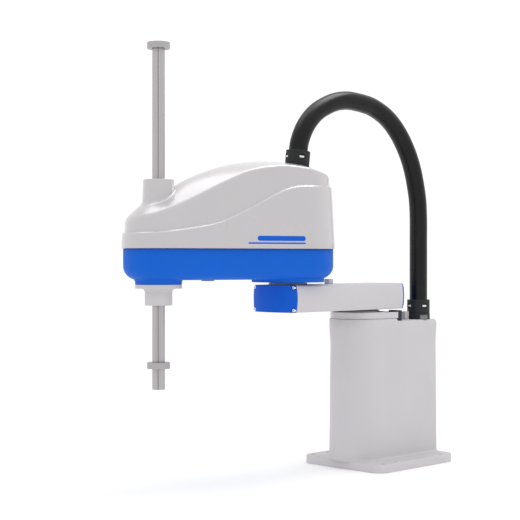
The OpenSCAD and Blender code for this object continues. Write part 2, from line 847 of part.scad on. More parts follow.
module z_brake() {
  color("dimgray") on_arm2() translate([z_motor_x, 0, plate_seat_z + motor_plate_t + 85])
    linear_extrude(height = 26) round_rect(52, 52, 8);
}

module roll_motor() {
  color("black") on_arm2() translate([roll_motor_x, 0, plate_seat_z + motor_plate_t])
    servo(small_motor_w, 85, motor_shaft_r - 1 + gap);
}

// toothed pulley on a short shaft that reaches up into its motor
module motor_pulley(x, z) {
  translate([x, 0, 0]) {
    disc(motor_pulley_r, z - 1, z + belt_h + 1);
    disc(motor_pulley_r + 2.5, z - 2.5, z - 1);
    disc(motor_pulley_r + 2.5, z + belt_h + 1, z + belt_h + 2.5);
    disc(motor_shaft_r - 1, z, plate_seat_z + motor_plate_t + 12);
  }
}

module z_motor_pulley() {
  color("silver") on_arm2() motor_pulley(z_motor_x, z_belt_z);
}

module roll_motor_pulley() {
  color("silver") on_arm2() motor_pulley(roll_motor_x, roll_belt_z);
}

// outline of a belt round a small pulley at x0 and the nut pulley
function belt_outline(x0, e) =
  let (
    r0 = motor_pulley_r + gap + e,
    r1 = nut_pulley_r + gap + e,
    t = acos((r0 - r1) / (arm2_len - x0)))
  concat(arc(arm2_len, 0, r1, -t, t, 32), arc(x0, 0, r0, t, 360 - t, 24));

module belt(x0, z) {
  translate([0, 0, z]) linear_extrude(height = belt_h) difference() {
    polygon(belt_outline(x0, belt_t));
    polygon(belt_outline(x0, 0));
  }
}

module z_belt() {
  color("black") on_arm2() belt(z_motor_x, z_belt_z);
}

module roll_belt() {
  color("black") on_arm2() belt(roll_motor_x, roll_belt_z);
}

module ball_nut() {
  color("silver") on_arm2() translate([arm2_len, 0, 0]) difference() {
    union() {
      disc(nut_r, z_belt_z - 1, seam_z + 26);
      disc(nut_pulley_r, z_belt_z - 1, z_belt_z + belt_h + 1);
    }
    disc(shaft_d / 2 + slip, z_belt_z - 10, seam_z + 40);
  }
}

module spline_nut() {
  color("silver") on_arm2() translate([arm2_len, 0, 0]) difference() {
    union() {
      disc(nut_r, neck_z + 12, roll_belt_z + belt_h + 1);
      disc(nut_pulley_r, roll_belt_z - 1, roll_belt_z + belt_h + 1);
    }
    disc(shaft_d / 2 + slip, neck_z, seam_z);
  }
}

module ball_nut_bearing() {
  color("lightsteelblue") on_arm2() translate([arm2_len, 0, 0])
    tube(40.5, nut_r + gap, seam_z - 10, seam_z + 12);
}

module spline_nut_bearing() {
  color("lightsteelblue") on_arm2() translate([arm2_len, 0, 0])
    tube(36, nut_r + gap, casting_z + 1, casting_z + 15);
}

// ---------- second arm: controls on its right side ----------

button_x = 60;
lamp_x = 26;
socket_x = 110;
control_z = 530;
socket_z = 518;

// frame on the cover's right side wall, z outwards
module on_side(x, z) {
  t = side_angle(nose_r, rear_r);
  f = 1 - x / arm2_len;
  w = (1 - f) * nose_r + f * rear_r - (z - seam_z) * tan(cover_draft);
  translate([x + w * cos(t), -w * sin(t), z]) rotate(-t) rotate([0, 90, 0]) children();
}

module button_housing() {
  color("dimgray") on_arm2() on_side(button_x, control_z) difference() {
    translate([0, 0, -9]) cylinder(h = 11, r = 11);
    translate([0, 0, -5]) cylinder(h = 20, r = 7.3);
  }
}

module brake_button() {
  color("gold") on_arm2() on_side(button_x, control_z) translate([0, 0, -1]) cylinder(h = 6, r = 7);
}

module status_lamp() {
  color("lime") on_arm2() on_side(lamp_x, control_z) translate([0, 0, -4]) cylinder(h = 7, r = 5);
}

module user_connectors() {
  color("darkslategray") on_arm2() on_side(socket_x, socket_z) difference() {
    translate([-17, -20, -6]) cube([34, 40, 8]);
    translate([-11, -15, -4]) cube([22, 30, 10]);
  }
}

module upper_hose_coupling() {
  color("darkslategray") on_arm2() translate([coupling_x, 0, 650])
    rotate([0, -hose_lean, 0]) translate([0, 0, -14]) hose_coupling(15, 29);
}

// ---------- shaft ----------

module on_shaft() {
  on_arm2() translate([arm2_len, 0, 0]) children();
}

upper_collar_z = 866.5;
lower_collar_z = 239;
collar_h = 12.5;
// turn that puts the collars' slots and screws at the back
collar_turn = 240;
relief_w = 2;
relief_depth = 0.6;

module spline_shaft() {
  color("darkgray") on_shaft() difference() {
    disc(shaft_d / 2, shaft_low_z, shaft_top_z);
    disc(shaft_bore_d / 2, shaft_low_z - 1, shaft_top_z + 1);
    // grinding relief, hidden by the lower collar, where the tool end begins
    tube(shaft_d / 2 + 1, shaft_d / 2 - relief_depth, lower_collar_z, lower_collar_z + relief_w);
    // ball grooves of the spline
    for (a = [60 : 120 : 300]) {
      rotate(a) translate([shaft_d / 2 + 0.6, 0, shaft_low_z - 1])
        cylinder(h = shaft_len + 2, r = 1.6, $fn = 24);
    }
  }
}

// split stop ring round the shaft
module stop_collar(z) {
  rotate(collar_turn) difference() {
    tube(22.5, shaft_d / 2 + slip, z, z + collar_h);
    translate([0, -0.8, z - 1]) cube([30, 1.6, collar_h + 2]);
    translate([18, -30, z + collar_h / 2]) rotate([-90, 0, 0]) cylinder(h = 60, r = 2.2, $fn = 32);
    translate([18, 9, z + collar_h / 2]) rotate([-90, 0, 0]) cylinder(h = 30, r = 4, $fn = 32);
  }
}

module upper_collar() {
  color("silver") on_shaft() stop_collar(upper_collar_z);
}

module lower_collar() {
  color("silver") on_shaft() stop_collar(lower_collar_z);
}

module collar_screws() {
  color("dimgray") on_shaft() for (z = [upper_collar_z, lower_collar_z] + [1, 1] * collar_h / 2) {
    rotate(collar_turn) translate([18, 9, z]) rotate([-90, 0, 0]) cap_screw(4, 18);
  }
}

base_casting();
column_cap();
cap_screws();
cap_buffer();
rear_panel();
rear_panel_screws();
power_connector();
signal_connector();
air_fittings();
hose_clamp_block();
j1_motor();
j1_motor_shaft();
j1_wave_generator();
j1_reducer_ring();
j1_output_hub();
lower_hose_coupling();
coupling_lock_block();
hose_lower();
hose_upper();
beam();
beam_front_cover();
beam_rear_cover();
beam_cover_screws();
j2_stop_block();
j2_reducer_ring();
j2_output_hub();
j2_wave_generator();
j2_motor_shaft();
j2_motor();
arm_casting();
arm_cover();
cover_screws();
shaft_collar_cover();
lower_bearing_cover();
bearing_cover_screws();
motor_plate();
z_motor();
z_brake();
roll_motor();
z_motor_pulley();
roll_motor_pulley();
z_belt();
roll_belt();
ball_nut();
spline_nut();
ball_nut_bearing();
spline_nut_bearing();
brake_button();
button_housing();
status_lamp();
user_connectors();
upper_hose_coupling();
spline_shaft();
upper_collar();
lower_collar();
collar_screws();
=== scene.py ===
"""SCARA robot arm: the looks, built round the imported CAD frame.

Lengths are millimetres in the CAD frame, and mesh_piece() turns them into metres. Places on the
second arm are given in its own frame: forward from its axis, left, and up from the mounting face.
"""

import json
import math

import bmesh
import bpy
from mathutils import Matrix, Vector


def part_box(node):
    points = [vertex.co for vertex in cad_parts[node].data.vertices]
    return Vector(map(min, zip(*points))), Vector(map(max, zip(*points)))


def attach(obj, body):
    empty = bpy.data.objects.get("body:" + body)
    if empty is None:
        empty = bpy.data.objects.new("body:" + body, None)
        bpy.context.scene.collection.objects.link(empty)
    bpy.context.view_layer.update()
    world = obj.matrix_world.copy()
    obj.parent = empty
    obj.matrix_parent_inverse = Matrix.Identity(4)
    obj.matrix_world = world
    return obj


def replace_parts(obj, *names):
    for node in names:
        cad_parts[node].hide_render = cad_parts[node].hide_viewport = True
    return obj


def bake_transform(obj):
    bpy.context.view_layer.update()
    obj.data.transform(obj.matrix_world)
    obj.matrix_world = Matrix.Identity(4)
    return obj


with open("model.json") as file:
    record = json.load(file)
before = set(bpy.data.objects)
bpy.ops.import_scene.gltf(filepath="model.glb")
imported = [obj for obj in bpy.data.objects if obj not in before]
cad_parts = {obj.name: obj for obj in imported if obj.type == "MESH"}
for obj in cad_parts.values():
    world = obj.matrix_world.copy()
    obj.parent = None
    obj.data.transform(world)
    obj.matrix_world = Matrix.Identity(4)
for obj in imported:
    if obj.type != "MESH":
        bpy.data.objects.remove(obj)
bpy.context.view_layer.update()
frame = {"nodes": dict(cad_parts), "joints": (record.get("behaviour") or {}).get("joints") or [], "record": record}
MM = 0.001


# ---------- places read from the frame ----------


def joint_place(name):
    """Where a joint is, in millimetres."""
    joint = next(j for j in frame["joints"] if j["name"] == name)
    return Vector(joint["pos_m"]) / MM


def low(node):
    """Lowest corner of a node's box, in millimetres."""
    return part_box(node)[0] / MM


def high(node):
    """Highest corner of a node's box, in millimetres."""
    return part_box(node)[1] / MM


J1 = joint_place("j1_turn")
J2 = joint_place("j2_turn")
J3 = joint_place("roll_turn")
arm2_forward = Vector((J3.x - J2.x, J3.y - J2.y, 0))
ARM2_LEN = arm2_forward.length
arm2_forward.normalize()
arm2_left = Vector((-arm2_forward.y, arm2_forward.x, 0))

PLATE_T = 18
# where the cover meets the casting, and the second arm's half widths round its two axes
SEAM_Z = low("arm_cover").z
NOSE_R = 73
REAR_R = 98
# angle between the arm's side and a line square to it, as the arm narrows to the nose
SIDE_TURN = math.acos((REAR_R - NOSE_R) / ARM2_LEN)
HOSE_R = 20


def on_arm2(point):
    """A point of the second arm's own frame (forward, left, up) in the CAD frame."""
    s, t, z = point
    place = J2 + arm2_forward * s + arm2_left * t
    return (place.x, place.y, z)


def as_is(point):
    return tuple(point)


# ---------- camera ----------


# level, at the height of the second arm, looking at the robot from its front left corner
CAMERA_PLACE = (2.2415, 1.8724, 0.4520)
CAMERA_TURN = 135


def make_camera():
    data = bpy.data.cameras.new("camera")
    data.lens = 90
    data.sensor_width = 36
    data.dof.use_dof = False
    camera = bpy.data.objects.new("camera", data)
    bpy.context.scene.collection.objects.link(camera)
    camera.location = CAMERA_PLACE
    camera.rotation_euler = (math.radians(90), 0, math.radians(CAMERA_TURN))
    bpy.context.scene.camera = camera


# ---------- materials ----------


class Nodes:
    """Short names for building one node material."""

    def __init__(self, name):
        self.material = bpy.data.materials.new(name)
        self.material.use_nodes = True
        self.tree = self.material.node_tree
        self.shader = self.tree.nodes["Principled BSDF"]
        place = self.tree.nodes.new("ShaderNodeTexCoord")
        self.place = place.outputs["Object"]

    def add(self, kind, **inputs):
        node = self.tree.nodes.new(kind)
        for key, value in inputs.items():
            self.put(node.inputs[key.replace("_", " ")], value)
        return node

    def put(self, socket, value):
        if isinstance(value, bpy.types.NodeSocket):
            self.tree.links.new(value, socket)
        else:
            socket.default_value = value

    def noise(self, scale, detail=3.0, place=None):
        node = self.add("ShaderNodeTexNoise", Scale=scale, Detail=detail)
        self.tree.links.new(place or self.place, node.inputs["Vector"])
        return node.outputs["Fac"]

    def stretched(self, x, y, z):
        """The object's coordinates, scaled, for brushed or drawn surfaces."""
        node = self.add("ShaderNodeMapping")
        self.tree.links.new(self.place, node.inputs["Vector"])
        node.inputs["Scale"].default_value = (x, y, z)
        return node.outputs["Vector"]

    def between(self, value, low_out, high_out, low_in=0.3, high_in=0.7):
        node = self.tree.nodes.new("ShaderNodeMapRange")
        self.tree.links.new(value, node.inputs["Value"])
        node.inputs["From Min"].default_value = low_in
        node.inputs["From Max"].default_value = high_in
        node.inputs["To Min"].default_value = low_out
        node.inputs["To Max"].default_value = high_out
        return node.outputs["Result"]

    def mixed(self, factor, colour_a, colour_b):
        node = self.tree.nodes.new("ShaderNodeMix")
        node.data_type = "RGBA"
        self.put(node.inputs[0], factor)
        self.put(node.inputs[6], colour_a)
        self.put(node.inputs[7], colour_b)
        return node.outputs[2]

    def bump(self, height, strength, distance, under=None):
        node = self.add("ShaderNodeBump", Strength=strength, Distance=distance)
        self.tree.links.new(height, node.inputs["Height"])
        if under is not None:
            self.tree.links.new(under, node.inputs["Normal"])
        return node.outputs["Normal"]

    def edge(self):
        """From 0 on flat stretches to 1 on worn outer edges."""
        node = self.tree.nodes.new("ShaderNodeNewGeometry")
        return self.between(node.outputs["Pointiness"], 0.0, 1.0, 0.505, 0.56)


def rgba(colour, gain=1.0):
    return (min(1, colour[0] * gain), min(1, colour[1] * gain), min(1, colour[2] * gain), 1)


# colour of the painted shade in creases and between parts
CREVICE_SHADE_COLOUR = (0.06, 0.055, 0.05, 1)


def painted_crevice_shade(nodes, colour, amount, reach):
    """The colour, a little darker where surfaces meet: painted shade in creases, placed by ambient occlusion."""
    shade = nodes.add("ShaderNodeAmbientOcclusion", Distance=reach)
    shade.samples = 6
    factor = nodes.between(shade.outputs["AO"], amount, 0.0, 0.35, 0.85)
    return nodes.mixed(factor, colour, CREVICE_SHADE_COLOUR)


def paint(name, colour, rough, grain=900, peel=0.10, coat=0.0, crevice_shade=0.10, shine=0.4, wear=0.2):
    """Powder coat or moulded plastic: fine orange peel, faint blotches, brighter worn edges, painted shade in
    creases.
    """
    nodes = Nodes(name)
    shader = nodes.shader
    shader.inputs["Base Color"].default_value = rgba(colour)
    shader.inputs["Roughness"].default_value = rough
    shader.inputs["Specular IOR Level"].default_value = shine
    shader.inputs["Coat Weight"].default_value = coat
    shader.inputs["Coat IOR"].default_value = 1.9
    shader.inputs["Coat Roughness"].default_value = 0.28
    blotch = nodes.between(nodes.noise(7, 5), 0.0, 1.0, 0.35, 0.65)
    tone = nodes.mixed(blotch, rgba(colour, 0.985), rgba(colour, 1.015))
    speck = nodes.between(nodes.noise(grain * 0.6, 2), 0.0, 0.10, 0.62, 0.75)
    tone = nodes.mixed(speck, tone, rgba(colour, 0.82))
    worn = nodes.add("ShaderNodeMath")
    worn.operation = "MULTIPLY"
    nodes.put(worn.inputs[0], nodes.edge())
    nodes.put(worn.inputs[1], nodes.between(nodes.noise(60, 4), 0.0, wear, 0.45, 0.7))
    tone = nodes.mixed(worn.outputs[0], tone, rgba([c * 0.6 + 0.32 for c in colour]))
    # painted shade: the colour is darkened where surfaces meet
    nodes.put(shader.inputs["Base Color"], painted_crevice_shade(nodes, tone, crevice_shade, 0.012))
    smear = nodes.between(nodes.noise(22, 6), rough * 0.88, min(1, rough * 1.15))
    nodes.put(shader.inputs["Roughness"], smear)
    peel_height = nodes.noise(grain, 2)
    nodes.put(shader.inputs["Normal"], nodes.bump(peel_height, peel, 0.0004))
    return nodes.material


def metal(name, colour, rough, lines=(1, 1, 1), fine=1400, depth=0.12, stain=0.06):
    """Turned, ground or plated metal; lines stretches the grain across the way it was worked."""
    nodes = Nodes(name)
    shader = nodes.shader
    shader.inputs["Base Color"].default_value = rgba(colour)
    shader.inputs["Metallic"].default_value = 1.0
    shader.inputs["Roughness"].default_value = rough
    grain = nodes.noise(fine, 2, nodes.stretched(*lines))
    tone = nodes.mixed(nodes.between(grain, 0.0, 1.0), rgba(colour, 0.90), rgba(colour, 1.06))
    smudge = nodes.between(nodes.noise(35, 5), 0.0, stain, 0.5, 0.75)
    tone = nodes.mixed(smudge, tone, rgba(colour, 0.45))
    tone = nodes.mixed(nodes.edge(), tone, rgba([c * 0.5 + 0.45 for c in colour]))
    # painted shade: the colour is darkened where surfaces meet
    nodes.put(shader.inputs["Base Color"], painted_crevice_shade(nodes, tone, 0.25, 0.006))
    nodes.put(shader.inputs["Roughness"], nodes.between(grain, rough * 0.8, min(1, rough * 1.25)))
    nodes.put(shader.inputs["Normal"], nodes.bump(grain, depth, 0.0002))
    return nodes.material


def rubber(name, colour, rough, fine=700, depth=0.2):
    """Rubber or hose sheath: matt with a fine leathery grain and slight scuffs."""
    nodes = Nodes(name)
    shader = nodes.shader
    shader.inputs["Base Color"].default_value = rgba(colour)
    shader.inputs["Roughness"].default_value = rough
    shader.inputs["Specular IOR Level"].default_value = 0.24
    scuff = nodes.between(nodes.noise(30, 6), 0.0, 0.5, 0.55, 0.75)
    tone = nodes.mixed(scuff, rgba(colour), rgba([c * 1.5 + 0.002 for c in colour]))
    # painted shade: the colour is darkened where surfaces meet
    nodes.put(shader.inputs["Base Color"], painted_crevice_shade(nodes, tone, 0.2, 0.01))
    nodes.put(shader.inputs["Roughness"], nodes.between(nodes.noise(45, 5), rough * 0.85, rough * 1.2))
    grain = nodes.noise(fine, 3)
    wave = nodes.noise(25, 2)
    nodes.put(shader.inputs["Normal"], nodes.bump(grain, depth, 0.0003, nodes.bump(wave, 0.10, 0.002)))
    return nodes.material


def floor_material():
    """A plain pale floor, seamless with the background."""
    nodes = Nodes("floor")
    pale = (0.99, 0.99, 0.99)
    nodes.shader.inputs["Base Color"].default_value = rgba(pale)
    nodes.shader.inputs["Roughness"].default_value = 0.9
    nodes.shader.inputs["Specular IOR Level"].default_value = 0.1
    blotch = nodes.between(nodes.noise(3), 0.0, 1.0)
    tone = nodes.mixed(blotch, rgba(pale, 0.998), rgba(pale, 1.002))
    nodes.put(nodes.shader.inputs["Base Color"], tone)
    return nodes.material


# the cover is darker than the painted castings, because its clear coat adds light
CASTING_WHITE = (0.558, 0.538, 0.555)
COVER_WHITE = (0.455, 0.434, 0.450)
CASTING_BLUE = (0.006, 0.113, 0.575)
PLASTIC_BLUE = (0.005, 0.105, 0.570)


def make_materials():
    """Every material, by the name of its slot."""
    # crevice_shade sets how dark the painted shade in creases is
    blue = {"peel": 0.04, "crevice_shade": 0.05, "shine": 0.1, "wear": 0.0}
    return {
        "white_paint": paint("white_paint", CASTING_WHITE, 0.5, shine=0.2, crevice_shade=0.05, wear=0.08),
        "white_plastic": paint(
            "white_plastic", COVER_WHITE, 0.3,
            grain=1300, peel=0.012, coat=1.0, crevice_shade=0.03, shine=0.5, wear=0.05,
        ),
        "blue_paint": paint("blue_paint", CASTING_BLUE, 0.5, grain=1100, **blue),
        "blue_plastic": paint("blue_plastic", PLASTIC_BLUE, 0.5, grain=1300, **blue),
        "zinc_screw": metal("zinc_screw", (0.80, 0.81, 0.83), 0.25),
        "black_oxide": metal("black_oxide", (0.055, 0.055, 0.06), 0.45),
        "grey_panel": paint("grey_panel", (0.18, 0.18, 0.19), 0.55, grain=700, peel=0.2),
        "connector_black": paint("connector_black", (0.022, 0.022, 0.025), 0.5, grain=1200),
        "nickel_brass": metal("nickel_brass", (0.66, 0.63, 0.56), 0.25),
        "grey_plastic": paint("grey_plastic", (0.15, 0.155, 0.16), 0.5, grain=1200),
        "motor_black": paint("motor_black", (0.025, 0.025, 0.028), 0.45, grain=800, peel=0.15),
        "brake_grey": paint("brake_grey", (0.12, 0.12, 0.125), 0.45, grain=800),
        "ground_steel": metal("ground_steel", (0.56, 0.56, 0.57), 0.25),
        # dark: painted shade on the reducer ring in the narrow gap between the beam and the second arm's boss
        "reducer_steel": metal("reducer_steel", (0.09, 0.09, 0.10), 0.45),
        "dark_steel": metal("dark_steel", (0.10, 0.10, 0.11), 0.5),
        "coupling_black": paint(
            "coupling_black", (0.021, 0.022, 0.023), 0.55, grain=1500, peel=0.06, shine=0.2, wear=0.03
        ),
        "hose_rubber": rubber("hose_rubber", (0.0035, 0.0036, 0.0037), 0.30, depth=0.06),
        "plain_aluminium": metal("plain_aluminium", (0.74, 0.74, 0.76), 0.32),
        "belt_rubber": rubber("belt_rubber", (0.03, 0.03, 0.03), 0.7),
        "bearing_steel": metal("bearing_steel", (0.68, 0.69, 0.70), 0.15),
        "button_yellow": paint("button_yellow", (0.80, 0.52, 0.03), 0.35),
        "lamp_green": paint("lamp_green", (0.08, 0.50, 0.16), 0.15, peel=0.02, coat=0.6),
        "shaft_steel": metal("shaft_steel", (0.245, 0.227, 0.238), 0.4, lines=(1, 1, 0.03), depth=0.03),
        "collar_steel": metal("collar_steel", (0.25, 0.232, 0.243), 0.42, lines=(1, 1, 6), depth=0.05),
        "white_clip": paint("white_clip", (0.80, 0.80, 0.80), 0.4),
        "floor": floor_material(),
    }


# ---------- mesh helpers ----------


def mesh_piece(name, points, faces, place=as_is, sharp=30):
    """A new object from points in millimetres, smooth but for edges sharper than the angle."""
    mesh = bpy.data.meshes.new(name)
    mesh.from_pydata([tuple(c * MM for c in place(p)) for p in points], [], faces)
    tidy = bmesh.new()
    tidy.from_mesh(mesh)
    bmesh.ops.remove_doubles(tidy, verts=tidy.verts, dist=1e-6)
    bmesh.ops.recalc_face_normals(tidy, faces=tidy.faces)
    tidy.to_mesh(mesh)
    tidy.free()
    mesh.shade_smooth()
    mesh.set_sharp_from_angle(angle=math.radians(sharp))
    piece = bpy.data.objects.new(name, mesh)
    bpy.context.scene.collection.objects.link(piece)
    return piece


def arc(cx, cy, r, a0, a1, n):
    """Points (x, y, nx, ny) of an arc with their outward normals."""
    made = []
    for i in range(n + 1):
        a = math.radians(a0 + (a1 - a0) * i / n)
        made.append((cx + r * math.cos(a), cy + r * math.sin(a), math.cos(a), math.sin(a)))
    return made


def line(x0, y0, x1, y1, n, nx, ny):
    """Points strictly between two ends, with one normal."""
    return [(x0 + (x1 - x0) * k / n, y0 + (y1 - y0) * k / n, nx, ny) for k in range(1, n)]


def mirrored(half):
    """A closed ring from its left half, front to back; the right half is its mirror image."""
    back = half[-2:0:-1] if abs(half[-1][1]) < 1e-9 else half[:0:-1]
    return half + [(p[0], -p[1], p[2]) for p in back]


def loft(rings, bottom=True, top=True):
    """Points and faces of a skin through rings from mirrored(), closed by strips across."""
    n = len(rings[0])
    points = [p for ring in rings for p in ring]
    faces = []
    for j in range(len(rings) - 1):
        for i in range(n):
            k = (i + 1) % n
            faces.append((j * n + i, j * n + k, (j + 1) * n + k, (j + 1) * n + i))

    def strips(first, facing_up):
        for i in range(n // 2):
            ids = list(dict.fromkeys(first + v % n for v in (i, i + 1, n - i - 1, n - i)))
            if len(ids) > 2:
                faces.append(tuple(ids if facing_up else ids[::-1]))

    if bottom:
        strips(0, False)
    if top:
        strips((len(rings) - 1) * n, True)
    return points, faces


def lathe(name, profile, centre, sharp=30, sides=96, place=as_is):
    """A turned piece: profile is a list of (radius, height) from inside bottom round to inside top."""
    points, faces = [], []
    n = len(profile)
    for k in range(sides):
        a = 2 * math.pi * k / sides
        for r, z in profile:
            points.append((centre[0] + r * math.cos(a), centre[1] + r * math.sin(a), z))
    for k in range(sides):
        following = (k + 1) % sides
        for i in range(n):
            j = (i + 1) % n
            faces.append((k * n + i, following * n + i, following * n + j, k * n + j))
    return mesh_piece(name, points, faces, place, sharp)


def rounded(r, z, radius, from_deg, to_deg, steps=5):
    """Profile points (radius, height) of a small arc, for lathe()."""
    made = []
    for k in range(steps + 1):
        a = math.radians(from_deg + (to_deg - from_deg) * k / steps)
        made.append((r + radius * math.cos(a), z + radius * math.sin(a)))
    return made


def block(name, lows, highs, place=as_is, radius=0.8):
    """A box with rounded edges."""
    (x0, y0, z0), (x1, y1, z1) = lows, highs
    points = [(x, y, z) for x in (x0, x1) for y in (y0, y1) for z in (z0, z1)]
    faces = [(0, 1, 3, 2), (4, 6, 7, 5), (0, 4, 5, 1), (2, 3, 7, 6), (0, 2, 6, 4), (1, 5, 7, 3)]
    piece = mesh_piece(name, points, faces, place)
    soften(piece, radius)
    return piece


def apply_modifiers(piece):
    """Bakes the modifiers of a piece of this script into its mesh."""
    graph = bpy.context.evaluated_depsgraph_get()
    mesh = bpy.data.meshes.new_from_object(piece.evaluated_get(graph))
    old = piece.data
    piece.modifiers.clear()
    piece.data = mesh
    mesh.name = piece.name
    bpy.data.meshes.remove(old)


def soften(piece, width, segments=3, angle=32):
    """Rounds the edges of a piece by width millimetres."""
    bevel = piece.modifiers.new("edges", "BEVEL")
    bevel.width = width * MM
    bevel.segments = segments
    bevel.limit_method = "ANGLE"
    bevel.angle_limit = math.radians(angle)
    bevel.harden_normals = True
    bevel.miter_outer = "MITER_ARC"


def cut(piece, cutters, sharp=30):
    """Subtracts cutters from a piece and removes them."""
    for cutter in cutters:
        hole = piece.modifiers.new("hole", "BOOLEAN")
        hole.operation = "DIFFERENCE"
        hole.solver = "EXACT"
        hole.object = cutter
    apply_modifiers(piece)
    for cutter in cutters:
        bpy.data.objects.remove(cutter)
    piece.data.shade_smooth()
    piece.data.set_sharp_from_angle(angle=math.radians(sharp))


def join(name, parts):
    """One object from several, keeping each part's materials."""
    for part in parts:
        apply_modifiers(part)
    keep = parts[0]
    with bpy.context.temp_override(active_object=keep, selected_editable_objects=parts):
        bpy.ops.object.join()
    keep.name = name
    keep.data.name = name
    return keep


def dress(piece, body, slot):
    """Gives a piece its material, its body and its slot."""
    piece.data.materials.clear()
    piece.data.materials.append(materials[slot])
    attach(piece, body)
    return piece


# ---------- hose ----------


HOSE_FOOT = (-107, 34)
# the same route as the CAD solids
LOWER_ROUTE = [
    (*HOSE_FOOT, 326), (*HOSE_FOOT, 380), (*HOSE_FOOT, 440), (*HOSE_FOOT, 500), (*HOSE_FOOT, 545),
    (-104, 34, 587), (-98, 33, 620), (-89, 33, 650), (-77, 32, 680), (-60, 31, 709),
    (-39, 29, 737), (-13, 27, 761), (16, 25, 778), (48, 22, 790), (80, 20, 795),
]
UPPER_ROUTE = [
    (80, 20, 795), (111, 18, 797), (137, 16, 795), (162, 14, 789), (186, 12, 779), (209, 10, 766),
    (229, 9, 749), (245, 8, 729), (256, 7, 707), (261, 6.5, 690), (264, 5.8, 662),
]


def smooth_route(points, steps=6):
    """A Catmull-Rom line through the points, evenly stepped between them."""
    route = [Vector(p) for p in points]
    padded = [route[0] * 2 - route[1], *route, route[-1] * 2 - route[-2]]
    made = []
    for i in range(1, len(padded) - 2):
        a, b, c, d = padded[i - 1 : i + 3]
        for k in range(steps):
            t = k / steps
            straight = 2 * b + (c - a) * t
            bent = (2 * a - 5 * b + 4 * c - d) * t**2 + (3 * b - a - 3 * c + d) * t**3
            made.append(0.5 * (straight + bent))
    made.append(route[-1])
    return made


def tube_piece(name, centres, radius, first=None, last=None, sides=40):
    """A round tube along a line; first and last are the end directions where they are given."""
    rings = []
    for i, c in enumerate(centres):
        ahead = centres[min(i + 1, len(centres) - 1)] - centres[max(i - 1, 0)]
        if i == 0 and first:
            ahead = Vector(first)
        if i == len(centres) - 1 and last:
            ahead = Vector(last)
        ahead.normalize()
        side = (Vector((0, 1, 0)) - ahead * ahead.y).normalized()
        up = side.cross(ahead)
        rings.append(
            [
                tuple(c + side * radius * math.cos(a) + up * radius * math.sin(a))
                for a in (2 * math.pi * k / sides for k in range(sides))
            ]
        )
    points = [p for ring in rings for p in ring]
    faces = []
    for j in range(len(rings) - 1):
        for i in range(sides):
            k = (i + 1) % sides
            faces.append((j * sides + i, j * sides + k, (j + 1) * sides + k, (j + 1) * sides + i))
    faces.append(tuple(range(sides - 1, -1, -1)))
    faces.append(tuple(range((len(rings) - 1) * sides, len(rings) * sides)))
    return mesh_piece(name, points, faces, sharp=60)


def make_hose():
    """The hose in two pieces that meet at the top of the arch, over the first arm."""
    parts = [
        ("hose_lower_sheath", LOWER_ROUTE, "hose_lower", "base", "first_arm", (0, 0, 1), (1, 0, 0)),
        ("hose_upper_sheath", UPPER_ROUTE, "hose_upper", "first_arm", "second_arm", (1, 0, 0), None),
    ]
    for name, route, node, body_a, body_b, first, last in parts:
        centres = smooth_route(route)
        piece = tube_piece(name, centres, HOSE_R, first, last)
        piece.data.materials.append(materials["hose_rubber"])
        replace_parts(piece, node)
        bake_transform(piece)


# ---------- hose couplings ----------


# radius of the nut; the flange below it stands a little further out
COUPLING_R = 25.5
FLANGE_H = 15
NUT_H = 29
# windows in the nut: half width, half height and the slope of their corners
WINDOW = (6.3, 5.1, 1.7)
# how far round its own axis each coupling's first window is turned
LOWER_WINDOW_TURN = 73
UPPER_WINDOW_TURN = 79
# the upper one leans back, about a pivot above its foot
UPPER_PIVOT = (-22.5, 0, 650)
UPPER_FOOT = -14
UPPER_LEAN = -6


def lower_coupling_place():
    """Upright, on the column's shelf."""
    return Matrix.Translation((*HOSE_FOOT, low("lower_hose_coupling").z))


def upper_coupling_place():
    """Leaning back with the hose on the second arm."""
    turned = Matrix.Rotation(math.atan2(arm2_forward.y, arm2_forward.x), 4, "Z")
    lean = Matrix.Rotation(math.radians(UPPER_LEAN), 4, "Y")
    foot = Matrix.Translation((0, 0, UPPER_FOOT))
    return Matrix.Translation(on_arm2(UPPER_PIVOT)) @ turned @ lean @ foot


def coupling_profile():
    """Flange, small step, and nut, as a profile for lathe()."""
    bore = HOSE_R + 0.3
    top = FLANGE_H + NUT_H
    flange_r = COUPLING_R + 0.4
    step_r = COUPLING_R - 1.0
    nut_r = COUPLING_R
    return [
        (bore, 0), *rounded(flange_r - 0.8, 0.8, 0.8, -90, 0),
        *rounded(flange_r - 0.6, FLANGE_H - 1.2, 0.6, 0, 90),
        (step_r, FLANGE_H - 0.6), (step_r, FLANGE_H + 0.2),
        *rounded(nut_r - 0.6, FLANGE_H + 0.8, 0.6, -90, 0),
        *rounded(nut_r - 0.9, top - 0.9, 0.9, 0, 90), (bore + 0.8, top), (bore, top - 0.8),
    ]


def window_cutter(middle, place):
    """Eight-sided block through the nut's wall, about the height middle."""
    half_w, half_h, slope = WINDOW
    flat = half_w - slope
    tall = half_h - slope
    shape = [
        (-half_w, -tall), (-flat, -half_h), (flat + 0.4, -half_h), (half_w, -tall - 0.2),
        (half_w, tall + 0.2), (flat, half_h), (-flat - 0.4, half_h), (-half_w, tall),
    ]
    inner = [(COUPLING_R - 3.2, y, middle + z) for y, z in shape]
    outer = [(COUPLING_R + 3, y, middle + z) for y, z in shape]
    count = len(shape)
    faces = [tuple(range(count))[::-1], tuple(range(count, 2 * count))]
    faces += [(i, (i + 1) % count, count + (i + 1) % count, count + i) for i in range(count)]
    return mesh_piece("window", inner + outer, faces, place)


